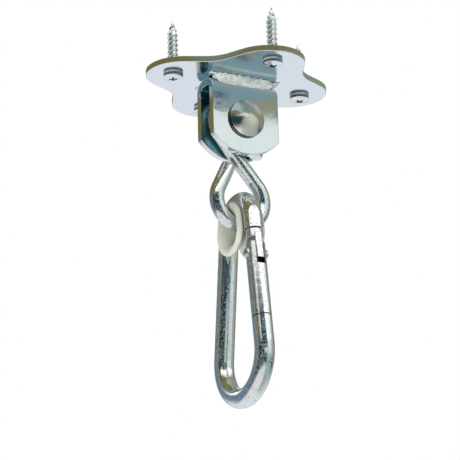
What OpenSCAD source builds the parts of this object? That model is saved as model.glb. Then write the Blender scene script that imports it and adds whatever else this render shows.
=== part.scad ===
// Swivel swing hook: a four-lobed plate with a welded U bracket, a swinging S link on a rivet,
// and a snap hook with a sprung gate that hangs in a nylon thimble.
// Millimetres. Origin at the middle of the plate's back face, +Z up out of that face,
// X along the bracket's width, Y along the rivet (the riveted front head faces -Y).

/* [Plate] */
// overall width across two opposite lobes
plate_span = 80; // [76:0.5:90]
// sheet thickness
plate_t = 2.5; // [2:0.1:4]
// radius of each lobe's rounded end
lobe_r = 15.4; // [13:0.1:17]
// straight length between a lobe's round and a hollow's
flank = 7.65; // [0:0.05:10]
// radius of the hollow between two lobes
notch_r = 14; // [8:0.5:18]
// diameter of the circle through the screw holes
hole_pcd = 59; // [54:0.5:62]
// screw hole diameter
hole_d = 5.2; // [5:0.1:6.5]

/* [Bracket] */
// width of the bent strip
strip_w = 30.4; // [27:0.2:34]
// strip thickness
strip_t = 3; // [2.5:0.1:4]
// outer radius of the two bends
bend_r = 5; // [4.5:0.1:6.5]
// free room on each side of the link between the cheeks
cheek_play = 0.7; // [0.5:0.05:1.5]
// rivet axis below the underside of the plate
axis_drop = 17.1; // [17:0.1:24]
// lowest point of a cheek below the rivet axis
cheek_drop = 15; // [12:0.2:20]
// radius of a cheek's lower edge
cheek_r = 19.5; // [18:0.5:30]

/* [Welds] */
// reach of a bead along the plate, out from the cheek's face
weld_reach = 4; // [3:0.1:6]
// height of a bead down the bend
weld_h = 2.9; // [2:0.1:3.4]
// how far a bead stops short of the strip's edges
weld_short = 0.2; // [0:0.1:3]
// number of ripples in a bead
weld_ripples = 11; // [6:1:16]
// height of the ripples
weld_relief = 0.45; // [0:0.05:0.8]

/* [Rivet] */
// shank diameter
rivet_d = 10; // [8:0.5:11]
// diameter of the round head
head_d = 15.6; // [14:0.2:18]
// straight rim of the round head
head_rim = 1.3; // [0.6:0.1:2.5]
// height of the dome above the rim
dome_h = 2.9; // [1.5:0.1:5]
// diameter of the closing head at the back
set_d = 14.4; // [13:0.2:17]
// height of the closing head
set_h = 3.2; // [2:0.1:5]

/* [Link] */
// rod diameter of the link
link_d = 6; // [5:0.1:6.6]
// radius of both eyes, to the middle of the rod
eye_r = 10.65; // [10:0.05:11]
// distance between the middles of the eyes
link_c = 32.7; // [31:0.1:42]
// lean of the upper eye's free end
tail_up_lean = 16; // [8:1:22]
// straight length of the upper eye's free end
tail_up_l = 10.6; // [6:0.1:12]
// lean of the lower eye's free end
tail_low_lean = 26; // [14:1:28]
// straight length of the lower eye's free end
tail_low_l = 10.6; // [6:0.1:11]

/* [Hook] */
// rod diameter of the hook
rod_d = 8; // [7:0.1:8.6]
// radius of the wide bend, to the middle of the rod
bow_r = 16.5; // [15:0.25:21]
// distance between the middles of the two bends
bow_c = 54.5; // [51:0.5:66]
// shoulder where the gate leg is turned down to the neck, from the narrow bend
shoulder_s = 6; // [5.2:0.1:8]
// end of the slimmer neck below the shoulder, from the narrow bend
neck_s = 10.2; // [8.6:0.1:10.4]
// how much slimmer the neck is than the rod, on each side
neck_in = 0.35; // [0.2:0.05:0.6]
// gate pin's axis, from the narrow bend
pin_s = 16.3; // [15.5:0.1:18]
// thickness of the tongue
tongue_t = 3.2; // [2.6:0.1:3.8]
// end of the tongue below the pin's axis
tongue_h = 3; // [2.7:0.05:3.4]

/* [Gate] */
// end of the gate above the pin's axis
gate_top = 4; // [3.4:0.1:4.4]
// joint between gate and nose, below the pin's axis
gate_reach = 27.1; // [23:0.1:29]
// thickness of the gate's tab in the nose
tab_t = 2.6; // [2:0.1:3.4]
// length of the tab
tab_l = 3; // [2:0.1:4]
// depth of the gate's slot below the pin's axis
slot_h = 5.2; // [5:0.1:6.5]
// gate pin diameter
pin_d = 3; // [2.4:0.1:3.4]
// how far a pin end stands out of the gate
pin_out = 1.4; // [0.8:0.1:2]
// diameter of the bore for plunger and spring
bore_d = 3.2; // [2.8:0.05:3.3]
// end of the bore below the pin's axis
bore_h = 20; // [18:0.5:22]
// length of the plunger's body
plunger_l = 5; // [4:0.1:6]
// spring wire diameter
wire_d = 0.45; // [0.3:0.05:0.5]
// turns of the spring
spring_turns = 8; // [5:1:9]

/* [Thimble] */
// wall between the link's rod and the hook's rod
thimble_t = 2.59; // [2:0.05:3.5]
// extra length of the thimble beyond a round eye
thimble_c = 4; // [2:0.1:5.2]
// how far its rims stay below the middle of the hook's rod
rim_low = 2; // [0.6:0.1:3]

/* [Screws] */
// head diameter
screw_head_d = 8; // [7:0.1:10]
// head height
screw_head_h = 2.5; // [1.8:0.1:3.5]
// thread diameter
screw_d = 4.5; // [3.5:0.1:4.6]
// length above the plate's back face
screw_l = 21; // [16:1:40]
// length of the point
screw_tip = 6; // [4:0.5:8]
// length of a recess arm across the head
recess_w = 4.4; // [3:0.1:5]
// width of a recess arm
recess_t = 1; // [0.6:0.05:1.4]
// depth of the recess
recess_h = 1.5; // [0.8:0.1:1.6]

/* [Hidden] */
$fn = 72;
play = 0.1;       // running play of the two swinging joints
slip = 0.05;      // play of pins in holes
seat = 0.03;      // play of seated pieces
lap = 0.4;        // straight lengths run this far into the bends
thin = 0.06;      // the stretched bends are this much thinner
bite = 0.03;      // rounds and the lengths between them cross by this much

// plate
lobe_c = plate_span / 2 - lobe_r;
notch_d2 = pow(lobe_r + notch_r, 2) + flank * flank;
notch_c = (lobe_c + sqrt(2 * notch_d2 - lobe_c * lobe_c)) / 2;
notch_v = [notch_c - lobe_c, notch_c];
notch_a = atan2(notch_v[1], notch_v[0]) - acos((lobe_r + notch_r) / norm(notch_v));
notch_u = [cos(notch_a), sin(notch_a)];
lobe_p = [lobe_c, 0] + (lobe_r - bite) * notch_u;
notch_p = [notch_c, notch_c] - (notch_r - bite) * notch_u;
plate_core = [for (k = [0:3]) for (p = [[lobe_p[0], -lobe_p[1]], lobe_p, notch_p, [notch_p[1], notch_p[0]]])
    [p[0] * cos(90 * k) - p[1] * sin(90 * k), p[0] * sin(90 * k) + p[1] * cos(90 * k)]];

// bracket
gap = link_d + 2 * cheek_play;
cheek_y = gap / 2 + strip_t;
crown_z = -plate_t;
axis_z = crown_z - axis_drop;
cheek_z = axis_z - cheek_drop;
arch_z = cheek_z + cheek_r;
corner_z = arch_z - sqrt(cheek_r * cheek_r - strip_w * strip_w / 4);

// link, in the plane y = 0
link_r = link_d / 2;
low_z = axis_z - link_c;
cross_a = acos(2 * eye_r / link_c);
hang_z = low_z - eye_r;

// hook, in the plane x = 0, its narrow bend round the link's rod
rod_r = rod_d / 2;
groove_r = rod_r + seat;
skin_r = groove_r + thimble_t;
top_r = skin_r + link_r + play - 2 * thin;
bow_z = hang_z - bow_c;
lean = asin((bow_r - top_r) / bow_c);
leg_l = bow_c * cos(lean);
leg_y = top_r * cos(lean);
leg_z = hang_z + top_r * sin(lean);
slot_w = tongue_t + 0.2;

// thimble
lip_r = thimble_t / 2;
lip_m = groove_r + lip_r;
thimble_r = top_r + thimble_c * sin(lean);

zinc = [0.80, 0.83, 0.85];
steel = [0.62, 0.64, 0.66];
nylon = [0.88, 0.87, 0.82];
bead = [0.86, 0.85, 0.80];

// a straight rod in the plane y = 0, lapped into a bend at its start, and at its end too if both is set
module rod_xz(a, b, r, both) {
    translate([a[0], 0, a[1]]) rotate([0, atan2(b[0] - a[0], b[1] - a[1]), 0]) translate([0, 0, -lap])
        cylinder(r = r, h = norm(b - a) + (both ? 2 * lap : lap));
}

// a bent rod in the plane y = 0, angles from +X towards +Z
module bend_xz(c, big_r, r, from, to) {
    translate([c[0], 0, c[1]]) rotate([90, 0, 0]) rotate([0, 0, from])
        rotate_extrude(angle = to - from) translate([big_r, 0]) circle(r = r - thin);
}

// turns a sweep in XY into the hook's plane, angles from +Y towards +Z
module bend_yz(z, from, to) {
    translate([0, 0, z]) rotate([90, 0, 90]) rotate([0, 0, from]) rotate_extrude(angle = to - from) children();
}

// local frame of the gate leg: origin where the narrow bend ends, -Z down along the leg, +Y inwards
module front_leg() {
    translate([0, -leg_y, leg_z]) rotate([-lean, 0, 0]) children();
}

module rear_leg() {
    translate([0, leg_y, leg_z]) rotate([lean, 0, 0]) children();
}

module at_pin() {
    front_leg() translate([0, 0, -pin_s]) children();
}

// a profile in (Y, Z) drawn out along X
module along_x(w) {
    rotate([90, 0, 90]) linear_extrude(height = w, center = true) children();
}

module cross_hole(r, l) {
    rotate([0, 90, 0]) cylinder(r = r, h = l, center = true);
}

module base_plate() {
    color(zinc) translate([0, 0, -plate_t]) linear_extrude(height = plate_t) difference() {
        union() {
            polygon(plate_core);
            for (k = [0:3]) rotate(90 * k) translate([lobe_c, 0]) circle(r = lobe_r);
        }
        for (k = [0:3]) rotate(90 * k) {
            translate([notch_c, notch_c]) circle(r = notch_r);
            translate([hole_pcd / 2, 0]) circle(d = hole_d);
        }
    }
}

module u_profile(y, z, r) {
    translate([-y, cheek_z - 1]) square([2 * y, z - r - cheek_z + 1]);
    translate([r - y, cheek_z - 1]) square([2 * (y - r), z - cheek_z + 1]);
    for (s = [-1, 1]) translate([s * (y - r), z - r]) circle(r = r);
}

module u_bracket() {
    color(zinc) difference() {
        intersection() {
            along_x(strip_w) difference() {
                u_profile(cheek_y, crown_z, bend_r);
                translate([0, -1]) u_profile(gap / 2, crown_z - strip_t + 1, bend_r - strip_t);
            }
            rotate([90, 0, 0]) linear_extrude(height = 3 * cheek_y, center = true) union() {
                translate([-strip_w / 2, corner_z]) square([strip_w, crown_z - corner_z + 1]);
                intersection() {
                    translate([0, arch_z]) circle(r = cheek_r);
                    translate([-strip_w / 2, cheek_z - 1]) square([strip_w, corner_z - cheek_z + 2]);
                }
            }
        }
        translate([0, 0, axis_z]) rotate([90, 0, 0]) cylinder(r = rivet_d / 2 + slip, h = 4 * cheek_y, center = true);
    }
}

// one section of a bead at x: outer rippled face from the plate's toe to the bend, then back up the bend
weld_len = strip_w - 2 * weld_short;
weld_steps = 6 * weld_ripples;
weld_face = 9;
weld_root = 6;
weld_toe = asin((bend_r - weld_h) / bend_r);
weld_in = 80;
weld_da = (weld_in - weld_toe) / weld_root;
function weld_end(u) = sqrt(max(0.12, 1 - pow(abs(2 * u - 1), 7)));
function weld_wave(u) = abs(sin(180 * weld_ripples * u + 25 * sin(900 * u))) * (0.75 + 0.25 * sin(1300 * u + 40));
function weld_section(u) =
    let (k = weld_end(u), w = weld_relief * weld_wave(u), bc = [-(cheek_y - bend_r), crown_z - bend_r],
        reach = (cheek_y + weld_reach * (0.9 + 0.1 * sin(700 * u)) * k - 0.4 * w),
        far = [-reach, crown_z],
        ra = bend_r / cos(weld_da / 2) + 0.01,
        near = bc + ra * [-cos(weld_toe), sin(weld_toe)])
    concat(
        [for (i = [0:weld_face]) let (t = i / weld_face)
            far * (1 - t) + near * t + (0.35 + w) * k * sin(180 * t) * [-0.6, -0.8]],
        [for (i = [1:weld_root]) bc + ra * [-cos(weld_toe + i * weld_da), sin(weld_toe + i * weld_da)]],
        [[bc[0] - ra * cos(weld_in), crown_z]]);
weld_n = weld_face + weld_root + 2;
weld_points = [for (s = [0:weld_steps]) for (p = weld_section(s / weld_steps))
    [weld_len * (s / weld_steps - 0.5), p[0], min(p[1], crown_z)]];
weld_faces = concat(
    [[for (i = [0:weld_n - 1]) i]],
    [for (s = [0:weld_steps - 1]) for (i = [0:weld_n - 1]) let (j = (i + 1) % weld_n)
        [s * weld_n + j, s * weld_n + i, (s + 1) * weld_n + i, (s + 1) * weld_n + j]],
    [[for (i = [weld_n - 1:-1:0]) weld_steps * weld_n + i]]);

module front_weld() {
    color(bead) polyhedron(points = weld_points, faces = weld_faces);
}

module rear_weld() {
    color(bead) rotate([0, 0, 180]) polyhedron(points = weld_points, faces = weld_faces);
}

// part of a ball: a dome of this diameter and height standing on z = 0
module dome(d, h) {
    ball = (d * d / 4 + h * h) / (2 * h);
    intersection() {
        translate([0, 0, h - ball]) sphere(r = ball);
        cylinder(d = d, h = h + 1);
    }
}

module pivot_rivet() {
    color(steel) translate([0, 0, axis_z]) rotate([90, 0, 0]) {
        translate([0, 0, -cheek_y]) cylinder(d = rivet_d, h = 2 * cheek_y);
        translate([0, 0, cheek_y]) cylinder(d = head_d, h = head_rim);
        translate([0, 0, cheek_y + head_rim]) dome(head_d, dome_h);
        translate([0, 0, -cheek_y]) mirror([0, 0, 1]) dome(set_d, set_h);
    }
}

module pivot_bush() {
    color(nylon) translate([0, 0, axis_z]) rotate([90, 0, 0]) difference() {
        cylinder(r = eye_r - link_r + thin - play, h = gap - 2 * seat, center = true);
        cylinder(r = rivet_d / 2 + slip, h = gap + 1, center = true);
    }
}

module swing_link() {
    up = [0, axis_z];
    low = [0, low_z];
    n = [-sin(cross_a), -cos(cross_a)];
    up_n = [cos(tail_up_lean), -sin(tail_up_lean)];
    low_n = [-cos(tail_low_lean), sin(tail_low_lean)];
    up_t = up + eye_r * up_n;
    low_t = low + eye_r * low_n;
    color(zinc) {
        bend_xz(up, eye_r, link_r, -tail_up_lean, 270 - cross_a);
        rod_xz(up_t, up_t + tail_up_l * [-sin(tail_up_lean), -cos(tail_up_lean)], link_r, false);
        rod_xz(up + eye_r * n, low - eye_r * n, link_r, true);
        bend_xz(low, eye_r, link_r, 180 - tail_low_lean, 450 - cross_a);
        rod_xz(low_t, low_t + tail_low_l * [sin(tail_low_lean), cos(tail_low_lean)], link_r, false);
    }
}

module tongue() {
    difference() {
        intersection() {
            translate([0, 0, -tongue_h]) cylinder(r = rod_r - 0.1, h = pin_s - shoulder_s + tongue_h + lap);
            along_x(tongue_t) union() {
                translate([-rod_d, 0]) square([2 * rod_d, pin_s]);
                translate([0, -tongue_h]) square([rod_d, tongue_h + 1]);
                circle(r = rod_r - 0.2);
            }
        }
        cross_hole(pin_d / 2, 2 * rod_d);
    }
}

module nose() {
    nose_top = gate_reach - rod_r * rod_r / gate_reach;
    difference() {
        translate([0, 0, pin_s - leg_l - lap]) cylinder(r = rod_r, h = leg_l - pin_s - nose_top + lap);
        cross_hole(gate_reach + play, 4 * rod_d);
        intersection() {
            translate([-tab_t / 2 - play, -rod_r / 2, -gate_reach - tab_l - 1])
                cube([tab_t + 2 * play, 2 * rod_d, tab_l + 3]);
            cross_hole(gate_reach + tab_l + 0.2, 4 * rod_d);
        }
    }
}

module hook_frame() {
    color(zinc) {
        bend_yz(hang_z, lean, 180 - lean) translate([top_r, 0]) circle(r = rod_r - thin);
        rear_leg() translate([0, 0, -leg_l - lap]) cylinder(r = rod_r, h = leg_l + 2 * lap);
        bend_yz(bow_z, 180 - lean, 360 + lean) translate([bow_r, 0]) circle(r = rod_r - thin);
        front_leg() {
            translate([0, 0, -shoulder_s]) cylinder(r = rod_r, h = shoulder_s + lap);
            translate([0, 0, -neck_s]) cylinder(r = rod_r - neck_in, h = neck_s - shoulder_s + 1);
        }
        at_pin() {
            tongue();
            nose();
        }
    }
}

module gate() {
    color(zinc) at_pin() difference() {
        union() {
            intersection() {
                translate([0, 0, -gate_reach - 1]) cylinder(r = rod_r, h = gate_reach + 1 + gate_top);
                cross_hole(gate_reach, 4 * rod_d);
            }
            intersection() {
                translate([0, 0, -gate_reach - 2 * tab_l]) cylinder(r = rod_r, h = gate_reach);
                cross_hole(gate_reach + tab_l, 4 * rod_d);
                translate([-tab_t / 2, play - rod_r / 2, -gate_reach - 2 * tab_l])
                    cube([tab_t, 2 * rod_d, 2 * tab_l + 2]);
            }
        }
        translate([-slot_w / 2, -rod_d, -slot_h]) cube([slot_w, 2 * rod_d, slot_h + gate_top + 1]);
        cross_hole(pin_d / 2 + slip, 2 * rod_d);
        translate([0, 0, -bore_h]) cylinder(d = bore_d, h = bore_h - slot_h + 1);
    }
}

module gate_pin() {
    color(steel) at_pin() {
        cross_hole(pin_d / 2, 2 * rod_r + 0.1);
        for (s = [-1, 1]) translate([s * (rod_r + slip), 0, 0]) rotate([0, 90 * s, 0]) {
            cylinder(d = pin_d + 0.6, h = pin_out / 2);
            translate([0, 0, pin_out / 2]) dome(pin_d + 0.6, pin_out / 2);
        }
    }
}

plunger_z = tongue_h + seat;
guide_d = bore_d - 2 * slip - 2.6 * wire_d;
guide_l = plunger_l / 2;
module gate_plunger() {
    color(steel) at_pin() {
        translate([0, 0, -plunger_z - plunger_l]) cylinder(d = bore_d - 2 * slip, h = plunger_l);
        translate([0, 0, -plunger_z - plunger_l - guide_l]) cylinder(d = guide_d, h = guide_l + lap);
    }
}

// closed coil from the plunger's shoulder to the end of the bore
coil_r = bore_d / 2 - 2 * slip - wire_d / 2;
coil_top = -plunger_z - plunger_l - wire_d / 2;
coil_low = -bore_h + wire_d / 2;
coil_n = 16;
wire_n = 6;
coil_steps = coil_n * spring_turns;
coil_points = [for (s = [0:coil_steps]) for (i = [0:wire_n - 1])
    let (a = 360 * s / coil_n, b = 360 * i / wire_n, r = coil_r + wire_d / 2 * cos(b))
    [r * cos(a), r * sin(a), coil_top + (coil_low - coil_top) * s / coil_steps + wire_d / 2 * sin(b)]];
coil_faces = concat(
    [[for (i = [0:wire_n - 1]) i]],
    [for (s = [0:coil_steps - 1]) for (i = [0:wire_n - 1]) let (j = (i + 1) % wire_n)
        [s * wire_n + j, s * wire_n + i, (s + 1) * wire_n + i, (s + 1) * wire_n + j]],
    [[for (i = [wire_n - 1:-1:0]) coil_steps * wire_n + i]]);
module gate_spring() {
    color(steel) at_pin() polyhedron(points = coil_points, faces = coil_faces);
}

// the thimble's wall: half a pipe round the hook's rod with rounded rims, open to +x
module thimble_wall(less) {
    rim_a = 90 + asin((rim_low + 2 * less) / lip_m);
    rim = [cos(rim_a), sin(rim_a)];
    far = 3 * skin_r;
    difference() {
        circle(r = skin_r - less);
        circle(r = groove_r + less);
        polygon([[0, 0], far * rim, [far, far], [far, -far], [far * rim[0], -far * rim[1]]]);
    }
    for (s = [-1, 1]) translate([lip_m * rim[0], s * lip_m * rim[1]]) circle(r = lip_r - less - bite);
}

module thimble() {
    straight = thimble_c * cos(lean);
    color(nylon) {
        bend_yz(hang_z, lean, 180 - lean) translate([top_r, 0]) thimble_wall(thin);
        bend_yz(hang_z - thimble_c, 180 - lean, 360 + lean) translate([thimble_r, 0]) thimble_wall(thin);
        front_leg() translate([0, 0, -straight - lap]) rotate([0, 0, -90])
            linear_extrude(height = straight + 2 * lap) thimble_wall(0);
        rear_leg() translate([0, 0, -straight - lap]) rotate([0, 0, 90])
            linear_extrude(height = straight + 2 * lap) thimble_wall(0);
    }
}

module screw() {
    neck_d = hole_d - 0.2;
    ball = screw_head_h + screw_head_d * screw_head_d / screw_head_h / 4;
    translate([0, 0, crown_z]) difference() {
        intersection() {
            translate([0, 0, -screw_head_h]) cylinder(d = screw_head_d, h = screw_head_h);
            translate([0, 0, ball - screw_head_h]) sphere(r = ball);
        }
        for (a = [0, 90]) rotate([0, 0, a]) translate([-recess_w / 2, -recess_t / 2, -screw_head_h - 1])
            cube([recess_w, recess_t, recess_h + 1]);
    }
    translate([0, 0, crown_z]) cylinder(d1 = neck_d, d2 = screw_d + 0.1, h = plate_t + 0.4);
    translate([0, 0, 0.4]) cylinder(d = screw_d, h = screw_l - screw_tip - 0.4);
    translate([0, 0, screw_l - screw_tip]) cylinder(d1 = screw_d, d2 = 0.4, h = screw_tip);
}

module mounting_screws() {
    color(zinc) for (k = [0:3]) rotate([0, 0, 90 * k]) translate([hole_pcd / 2, 0, 0])
        rotate([0, 0, 25 + 62 * k]) screw();
}

base_plate();
u_bracket();
front_weld();
rear_weld();
pivot_rivet();
pivot_bush();
swing_link();
hook_frame();
thimble();
gate();
gate_pin();
gate_plunger();
gate_spring();
mounting_screws();
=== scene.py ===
"""Swivel swing hook: a lobed plate with a welded bracket, an S link on a rivet, and a snap hook."""
import bmesh
import bpy
import math
from mathutils import Matrix, Vector


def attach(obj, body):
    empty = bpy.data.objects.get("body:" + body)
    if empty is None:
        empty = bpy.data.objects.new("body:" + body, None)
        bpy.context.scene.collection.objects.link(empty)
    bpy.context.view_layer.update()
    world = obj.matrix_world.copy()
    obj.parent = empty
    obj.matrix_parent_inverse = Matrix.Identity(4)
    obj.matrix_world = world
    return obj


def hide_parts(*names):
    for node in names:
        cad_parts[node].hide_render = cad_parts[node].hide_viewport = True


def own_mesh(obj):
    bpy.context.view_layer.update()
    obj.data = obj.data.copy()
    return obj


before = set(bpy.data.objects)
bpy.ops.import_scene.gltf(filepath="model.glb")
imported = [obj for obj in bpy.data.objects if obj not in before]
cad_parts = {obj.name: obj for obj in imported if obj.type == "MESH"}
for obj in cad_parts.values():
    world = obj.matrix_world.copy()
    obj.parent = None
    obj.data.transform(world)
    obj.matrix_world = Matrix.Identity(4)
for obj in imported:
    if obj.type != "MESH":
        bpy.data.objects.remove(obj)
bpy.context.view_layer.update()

MM = 0.001
X, Y, Z = Vector((1, 0, 0)), Vector((0, 1, 0)), Vector((0, 0, 1))
QUARTER = math.pi / 2
ON_FACE = 0.05 * MM  # a face this close to a surface belongs to it
AT_OUTSIDE = 0.3 * MM  # a face this close to a round piece's outside belongs to the outside

# plate
PLATE_T, PLATE_BREAK = 2.5 * MM, 0.3 * MM
LOBE_R, LOBE_C = 15.4 * MM, 24.6 * MM
HOLLOW_R, FLANK = 14 * MM, 7.65 * MM
SCREW_CIRCLE_R, HOLE_R = 29.5 * MM, 2.6 * MM
CROWN_Z = -PLATE_T
LOBE_STEPS = 32

# bracket strip
STRIP_W, STRIP_T, STRIP_BREAK, BEND_R = 30.4 * MM, 3 * MM, 0.35 * MM, 5 * MM
STRIP_CUTS, BEND_STEPS = 28, 10
GAP = 7.4 * MM
CHEEK_Y = GAP / 2 + STRIP_T
AXIS_Z = CROWN_Z - 17.1 * MM
CHEEK_R = 19.5 * MM
ARCH_Z = AXIS_Z - 15 * MM + CHEEK_R

# weld beads, as the front one is laid; a puddle's sizes are times its ball's radius
PUDDLES, PUDDLE_R = 22, 1 * MM
PUDDLE_W, PUDDLE_L, PUDDLE_H = 0.86, 3.4, 1.5
PUDDLE_SLANT, BEAD_FACE = 34, math.radians(35.5)
BEAD_X, BEAD_Y, BEAD_Z = -1.4 * MM, -8.3 * MM, CROWN_Z - 1.05 * MM
BEAD_HALF_L, END_SLIDE, WANDER = STRIP_W / 2 - 3 * MM, 0.9 * MM, 0.14 * MM
BEAD_TOP = CROWN_Z - 0.01 * MM
ROOT_SIZE = (STRIP_W - 2 * MM, 4 * MM, 1.2 * MM)
ROOT_SPOT = (0, -6.9 * MM, CROWN_Z - 0.5 * MM)
SPATTER_Z = CROWN_Z - 0.2 * MM
SPATTER = ((-17.3, -8.9, 0.62), (-16.2, -9.2, 0.75), (-15.2, -9.3, 0.9),
           (12.9, -9.4, 0.8), (13.7, -9.9, 0.55))  # x, y and radius in mm
MELT, CRUST_GRAIN, CRUST_H = 0.15 * MM, 0.8 * MM, 0.05 * MM
TOE_Y, TOE_Z = -8 * MM, CROWN_Z - 0.34 * MM

# rivet
HEAD_R, HEAD_RIM, DOME_H = 7.8 * MM, 1.3 * MM, 2.9 * MM
SET_R, SET_RIM, SET_H = 7.2 * MM, 0.25 * MM, 3.2 * MM
SHANK_R, RIVET_BREAK = 5 * MM, 0.22 * MM
DOME_Y = -CHEEK_Y - HEAD_RIM - DOME_H

# link
LINK_R, EYE_R, LINK_C = 3 * MM, 10.65 * MM, 32.7 * MM
LOW_Z = AXIS_Z - LINK_C
CROSS_A = math.acos(2 * EYE_R / LINK_C)
UP_LEAN, LOW_LEAN, TAIL_L = math.radians(16), math.radians(26), 10.6 * MM
EYE_STEPS, LINK_BREAK = 40, 0.35 * MM

# hook
ROD_R, TOP_R, BOW_R, BOW_C = 4 * MM, 9.6 * MM, 16.5 * MM, 54.5 * MM
ROD_SIDES, NARROW_STEPS, BOW_STEPS = 56, 36, 48
HANG_Z = LOW_Z - EYE_R
BOW_Z = HANG_Z - BOW_C
LEAN = math.asin((BOW_R - TOP_R) / BOW_C)
LEG_L = BOW_C * math.cos(LEAN)
LEG_Y, LEG_Z = TOP_R * math.cos(LEAN), HANG_Z + TOP_R * math.sin(LEAN)
SHOULDER_S, NECK_S, PIN_S = 6 * MM, 10.2 * MM, 16.3 * MM
NECK_IN, GROOVE_W, RING_H = 0.4 * MM, 0.55 * MM, 2.2 * MM
NECK_ROOT = 0.5 * MM
TONGUE_T, TONGUE_H = 3.2 * MM, 3 * MM
HOOK_BREAK, RING_BREAK, TONGUE_BREAK = 0.05 * MM, 0.3 * MM, 0.2 * MM

# gate, measured from the pin along the leg
GATE_TOP, GATE_REACH, GATE_BREAK = 4 * MM, 27.1 * MM, 0.26 * MM
SLOT_W, SLOT_H = 3.8 * MM, 5.6 * MM
TAB_T, TAB_L, TAB_ROOT = 2.6 * MM, 3 * MM, 0.35 * MM
TAB_W, TAB_SHIFT = 1.4 * ROD_R, 0.2 * ROD_R
NOSE_SLOT_L, NOSE_SLOT_RISE = TAB_L + 1.5 * MM, 0.3 * MM
PIN_R, PIN_PLAY, BORE_R, BORE_H = 1.5 * MM, 0.05 * MM, 1.6 * MM, 20 * MM
WIRE_R, COIL_R, COIL_TURNS = 0.225 * MM, 1.275 * MM, 8
WIRE_SIDES, COIL_STEPS = 12, 24
COIL_TOP, COIL_LOW = -8.255 * MM, -19.775 * MM
PLAY, NOSE_GAP, SLIVER = 0.1 * MM, 0.42 * MM, 0.09 * MM
SPARE = 2 * MM  # what is cut away again
LAP = 1 * MM  # how far a bar or a cutter goes past its end
ACROSS, ALONG = 4 * ROD_R, 60 * MM  # cutters that pass the rod on both sides and at both ends
REACH_L, REACH_SIDES = 6 * ROD_R, 256  # the drum that shapes the gate's end and the nose

# thimble
GROOVE_R, WALL, RIM_LOW, THIMBLE_C = 4.03 * MM, 2.59 * MM, 2 * MM, 4 * MM
SKIN_R, MID_R = GROOVE_R + WALL, GROOVE_R + WALL / 2
SECTION_STEPS, LIP_STEPS, LOW_STEPS = 28, 8, 40

# screws
SCREW_HEAD_R, SCREW_HEAD_H, SCREW_RIM = 4 * MM, 2.5 * MM, 1.5 * MM
SCREW_R, SCREW_CORE_R, SCREW_NECK_R = 2.25 * MM, 1.65 * MM, 2.45 * MM
SCREW_L, SCREW_TIP, PITCH, THREAD_STEPS = 21 * MM, 6 * MM, 2.1 * MM, 28
PLAIN_END, POINT_SLIM, THREAD_MERGE = 0.2 * MM, 0.03, 0.005 * MM
THREAD = ((SCREW_CORE_R, 0), (SCREW_CORE_R, 0.42), (SCREW_R, 0.66), (SCREW_R, 0.74), (SCREW_CORE_R, 1))
RECESS_W, RECESS_T, RECESS_H, RECESS_LIP = 4.6 * MM, 1.25 * MM, 1.9 * MM, 0.35 * MM
RECESS_TAPER = (0.6, 0.7, 1)
DRIVEN, DRIVEN_STEP = 25, 62  # degrees, so that no two recesses lie alike
SCREW_BREAK, SCREW_NECK_BREAK, NECK_PROUD = 0.2 * MM, 0.15 * MM, 0.6 * MM
# height of the cut that bounds the painted highlight band round the screw head at the plate, and of the band
HIGHLIGHT_CUT_H, HIGHLIGHT_BAND_H = 0.32 * MM, 0.22 * MM
HEAD_Z = CROWN_Z - SCREW_HEAD_H


# Small modelling steps.

def begin():
    if bpy.context.object and bpy.context.object.mode != "OBJECT":
        bpy.ops.object.mode_set(mode="OBJECT")
    bpy.ops.object.select_all(action="DESELECT")


def only(obj):
    begin()
    obj.select_set(True)
    bpy.context.view_layer.objects.active = obj


def named(name):
    obj = bpy.context.object
    obj.name = obj.data.name = name
    return obj


def editing(obj):
    only(obj)
    bpy.ops.object.mode_set(mode="EDIT")
    bpy.ops.mesh.select_mode(type="FACE")


def editing_outline(obj):
    only(obj)
    bpy.ops.object.mode_set(mode="EDIT")
    bpy.ops.mesh.select_mode(type="EDGE")
    bpy.ops.mesh.select_all(action="SELECT")


def done():
    bpy.ops.object.mode_set(mode="OBJECT")


def pick_faces(obj, test):
    bpy.ops.mesh.select_all(action="DESELECT")
    bm = bmesh.from_edit_mesh(obj.data)
    for face in bm.faces:
        face.select_set(test(face))
    bmesh.update_edit_mesh(obj.data)


def pick_edges(obj, test):
    bpy.ops.mesh.select_mode(type="EDGE")
    bpy.ops.mesh.select_all(action="DESELECT")
    bm = bmesh.from_edit_mesh(obj.data)
    for edge in bm.edges:
        edge.select_set(test(edge))
    bmesh.update_edit_mesh(obj.data)


def set_heights(obj, height_at):
    """Moves the selected points to the height that belongs to their x."""
    bm = bmesh.from_edit_mesh(obj.data)
    for vert in bm.verts:
        if vert.select:
            vert.co.z = height_at(vert.co.x)
    bmesh.update_edit_mesh(obj.data)


def draw_out(step):
    bpy.ops.mesh.extrude_region_move(TRANSFORM_OT_translate={"value": step})


def turn_about(centre, axis, angle, steps):
    """Spins the selected outline right-handed round an axis; the operator counts the other way."""
    bpy.ops.mesh.spin(steps=steps, angle=-angle, center=centre, axis=axis)


def apply_place():
    bpy.ops.object.transform_apply(location=True, rotation=True, scale=True)


def place(obj, matrix):
    obj.matrix_world = matrix
    only(obj)
    apply_place()


def apply(obj, kind, **values):
    only(obj)
    mod = obj.modifiers.new(kind.lower(), kind)
    for key, value in values.items():
        setattr(mod, key, value)
    bpy.ops.object.modifier_apply(modifier=mod.name)


def cut(obj, tool, operation="DIFFERENCE"):
    apply(obj, "BOOLEAN", object=tool, operation=operation, solver="EXACT")
    bpy.data.objects.remove(tool, do_unlink=True)


def block(size, centre):
    begin()
    bpy.ops.mesh.primitive_cube_add(size=1, location=centre, scale=size)
    apply_place()
    return bpy.context.object


def round_bar(radius, length, centre, axis=Z, sides=64):
    begin()
    turn = Z.rotation_difference(axis).to_euler()
    bpy.ops.mesh.primitive_cylinder_add(vertices=sides, radius=radius, depth=length, location=centre,
                                        rotation=turn)
    apply_place()
    return bpy.context.object


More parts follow.
